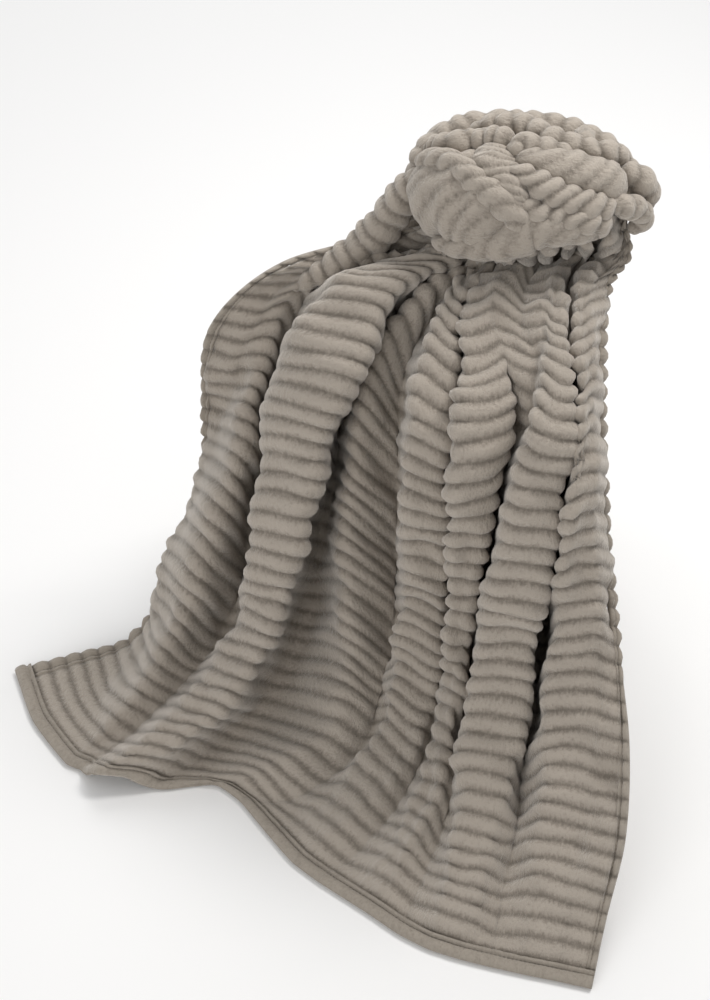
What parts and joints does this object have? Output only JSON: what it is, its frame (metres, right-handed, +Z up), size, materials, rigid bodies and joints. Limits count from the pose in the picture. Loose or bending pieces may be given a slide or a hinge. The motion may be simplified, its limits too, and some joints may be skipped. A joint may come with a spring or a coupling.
{
  "type": "draped throw blanket",
  "caption": "Taupe plush throw with raised ribs and turned, stitched hems, gathered into a bundle and fanned out to the floor.",
  "frame": {"origin": "on the floor, under the centre of the bounding box of the draped throw", "axes": "+Z up from the floor, -Y towards the front hem's right corner and the side that the drape is seen from, +X to that side's right"},
  "size_m": [0.7224, 0.877, 0.6631],
  "materials": {
    "pile_fabric": "matte plush pile, ribbed",
    "hem_fabric": "matte, turned edge",
    "thread": "satin",
    "label_ribbon": "satin"
  },
  "bodies": {
    "throw": {"throw_panel": "pile_fabric", "hem_front": "hem_fabric", "hem_rear": "hem_fabric", "hem_left": "hem_fabric", "hem_right": "hem_fabric", "stitch_front": "thread", "stitch_rear": "thread", "stitch_left": "thread", "stitch_right": "thread"},
    "label": {"care_label": "label_ribbon"}
  },
  "joints": [
    {"name": "label_flap", "type": "hinge", "parent": "throw", "child": "label", "pos_m": [-0.03423, 0.30835, 0.19698], "axis": [-0.3666, 0.184, -0.912], "range_deg": [-70, 70], "stiffness_Nm_per_rad": 0.002}
  ]
}
